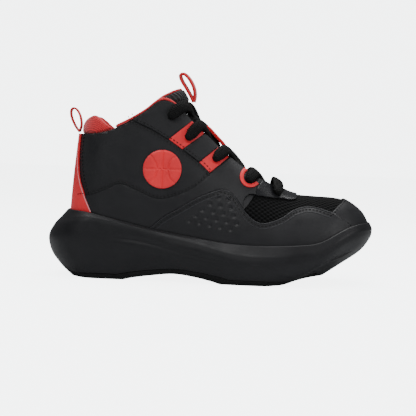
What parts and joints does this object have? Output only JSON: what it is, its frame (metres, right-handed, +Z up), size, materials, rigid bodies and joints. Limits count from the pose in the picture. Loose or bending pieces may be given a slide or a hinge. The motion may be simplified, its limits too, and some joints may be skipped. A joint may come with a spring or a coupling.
{
  "type": "basketball high top",
  "caption": "Black basketball high top with red heel, collar and accents, thick flared sole, over-laced throat and two pull loops.",
  "frame": {"origin": "on the ground under the middle of the shoe's box", "axes": "+X along the shoe to the toe, +Y to the medial side, +Z up"},
  "size_m": [0.24, 0.0928, 0.1519],
  "materials": {
    "black_leather": "satin, fine grain",
    "black_mesh": "open knit",
    "red_leather": "satin",
    "gloss_trim": "glossy",
    "red_lining": "brushed knit",
    "grey_lining": "knit",
    "stiffener": "matte",
    "foam": "open cell",
    "board": "fleece",
    "sock_fabric": "knit",
    "midsole_foam": "satin moulded",
    "outsole_rubber": "matte",
    "lace_braid": "braided",
    "aglet_plastic": "clear",
    "red_webbing": "woven",
    "red_binding": "woven tape"
  },
  "bodies": {
    "shoe": {"quarter_lateral": "black_leather", "quarter_medial": "black_leather", "vamp_mesh": "black_mesh", "heel_backstay": "red_leather", "toe_cap": "black_leather", "throat_tip": "gloss_trim", "emblem_roundel": "red_leather", "quarter_lining": "red_lining", "vamp_lining": "grey_lining", "heel_counter": "stiffener", "toe_puff": "stiffener", "collar_foam": "foam", "heel_pad": "red_lining", "strobel_board": "board", "midsole": "midsole_foam", "outsole": "outsole_rubber", "tongue": "black_mesh", "tongue_tab": "red_leather", "lace": "lace_braid", "aglet_lateral": "aglet_plastic", "aglet_medial": "aglet_plastic", "mudguard_lateral": "black_leather", "saddle_lateral": "black_leather", "eyestay_upper_lateral": "black_leather", "eyestay_middle_lateral": "black_leather", "lace_window_upper_lateral": "red_leather", "lace_window_lower_lateral": "red_leather", "collar_binding_lateral": "red_binding", "mudguard_medial": "black_leather", "saddle_medial": "black_leather", "eyestay_upper_medial": "black_leather", "eyestay_middle_medial": "black_leather", "lace_window_upper_medial": "red_leather", "lace_window_lower_medial": "red_leather", "collar_binding_medial": "red_binding"},
    "heel_loop": {"heel_loop": "red_webbing"},
    "tongue_flap": {"tongue_flap": "black_mesh"},
    "tongue_loop": {"tongue_loop": "red_webbing"},
    "sockliner": {"sockliner": "sock_fabric"}
  },
  "joints": [
    {"name": "heel_loop_bend", "type": "hinge", "parent": "shoe", "child": "heel_loop", "pos_m": [-0.1, 0, 0.1056], "axis": [0, 1, 0], "range_deg": [-70, 0], "stiffness_Nm_per_rad": 0.02},
    {"name": "tongue_flap_bend", "type": "hinge", "parent": "shoe", "child": "tongue_flap", "pos_m": [-0.0165, 0, 0.128], "axis": [0, 1, 0], "range_deg": [0, 28], "stiffness_Nm_per_rad": 0.05},
    {"name": "tongue_loop_bend", "type": "hinge", "parent": "tongue_flap", "child": "tongue_loop", "pos_m": [-0.016, 0, 0.1306], "axis": [0, 1, 0], "range_deg": [0, 55], "stiffness_Nm_per_rad": 0.02},
    {"name": "sockliner_lift", "type": "hinge", "parent": "shoe", "child": "sockliner", "pos_m": [0.108, 0, 0.035], "axis": [0, 1, 0], "range_deg": [0, 9]}
  ]
}
